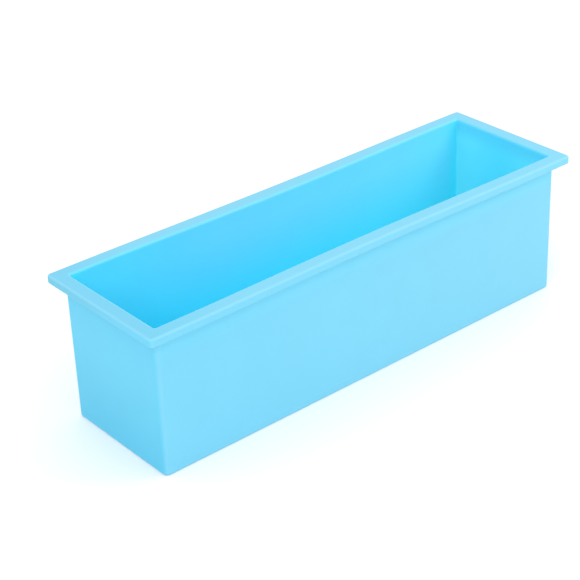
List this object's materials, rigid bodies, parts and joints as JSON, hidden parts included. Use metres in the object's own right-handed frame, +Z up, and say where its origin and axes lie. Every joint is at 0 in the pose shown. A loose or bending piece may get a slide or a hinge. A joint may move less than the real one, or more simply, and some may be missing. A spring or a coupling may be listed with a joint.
{
  "type": "silicone loaf soap mould",
  "caption": "Flexible rectangular loaf mould for pouring soap, with upright walls and a flat rim all round; the walls flex outwards to release the block.",
  "frame": {"origin": "centre of the underside, on the surface that the mould stands on", "axes": "+X along the mould's length, +Y across it towards the back wall, +Z up out of its open top"},
  "size_m": [0.2762, 0.0848, 0.08],
  "materials": {
    "silicone": "matte"
  },
  "bodies": {
    "base": {"floor": "silicone", "front_left_corner": "silicone", "front_right_corner": "silicone", "back_left_corner": "silicone", "back_right_corner": "silicone"},
    "front_wall": {"front_wall": "silicone"},
    "back_wall": {"back_wall": "silicone"},
    "left_end_wall": {"left_end_wall": "silicone"},
    "right_end_wall": {"right_end_wall": "silicone"}
  },
  "joints": [
    {"name": "front_wall_flex", "type": "hinge", "parent": "base", "child": "front_wall", "pos_m": [0, -0.03535, 0.00415], "axis": [1, 0, 0], "range_deg": [-8, 15], "stiffness_Nm_per_rad": 0.5},
    {"name": "back_wall_flex", "type": "hinge", "parent": "base", "child": "back_wall", "pos_m": [0, 0.03535, 0.00415], "axis": [-1, 0, 0], "range_deg": [-8, 15], "stiffness_Nm_per_rad": 0.5},
    {"name": "left_end_wall_flex", "type": "hinge", "parent": "base", "child": "left_end_wall", "pos_m": [-0.1311, 0, 0.00415], "axis": [0, -1, 0], "range_deg": [-3, 5], "stiffness_Nm_per_rad": 1.3},
    {"name": "right_end_wall_flex", "type": "hinge", "parent": "base", "child": "right_end_wall", "pos_m": [0.1311, 0, 0.00415], "axis": [0, 1, 0], "range_deg": [-3, 5], "stiffness_Nm_per_rad": 1.3}
  ]
}
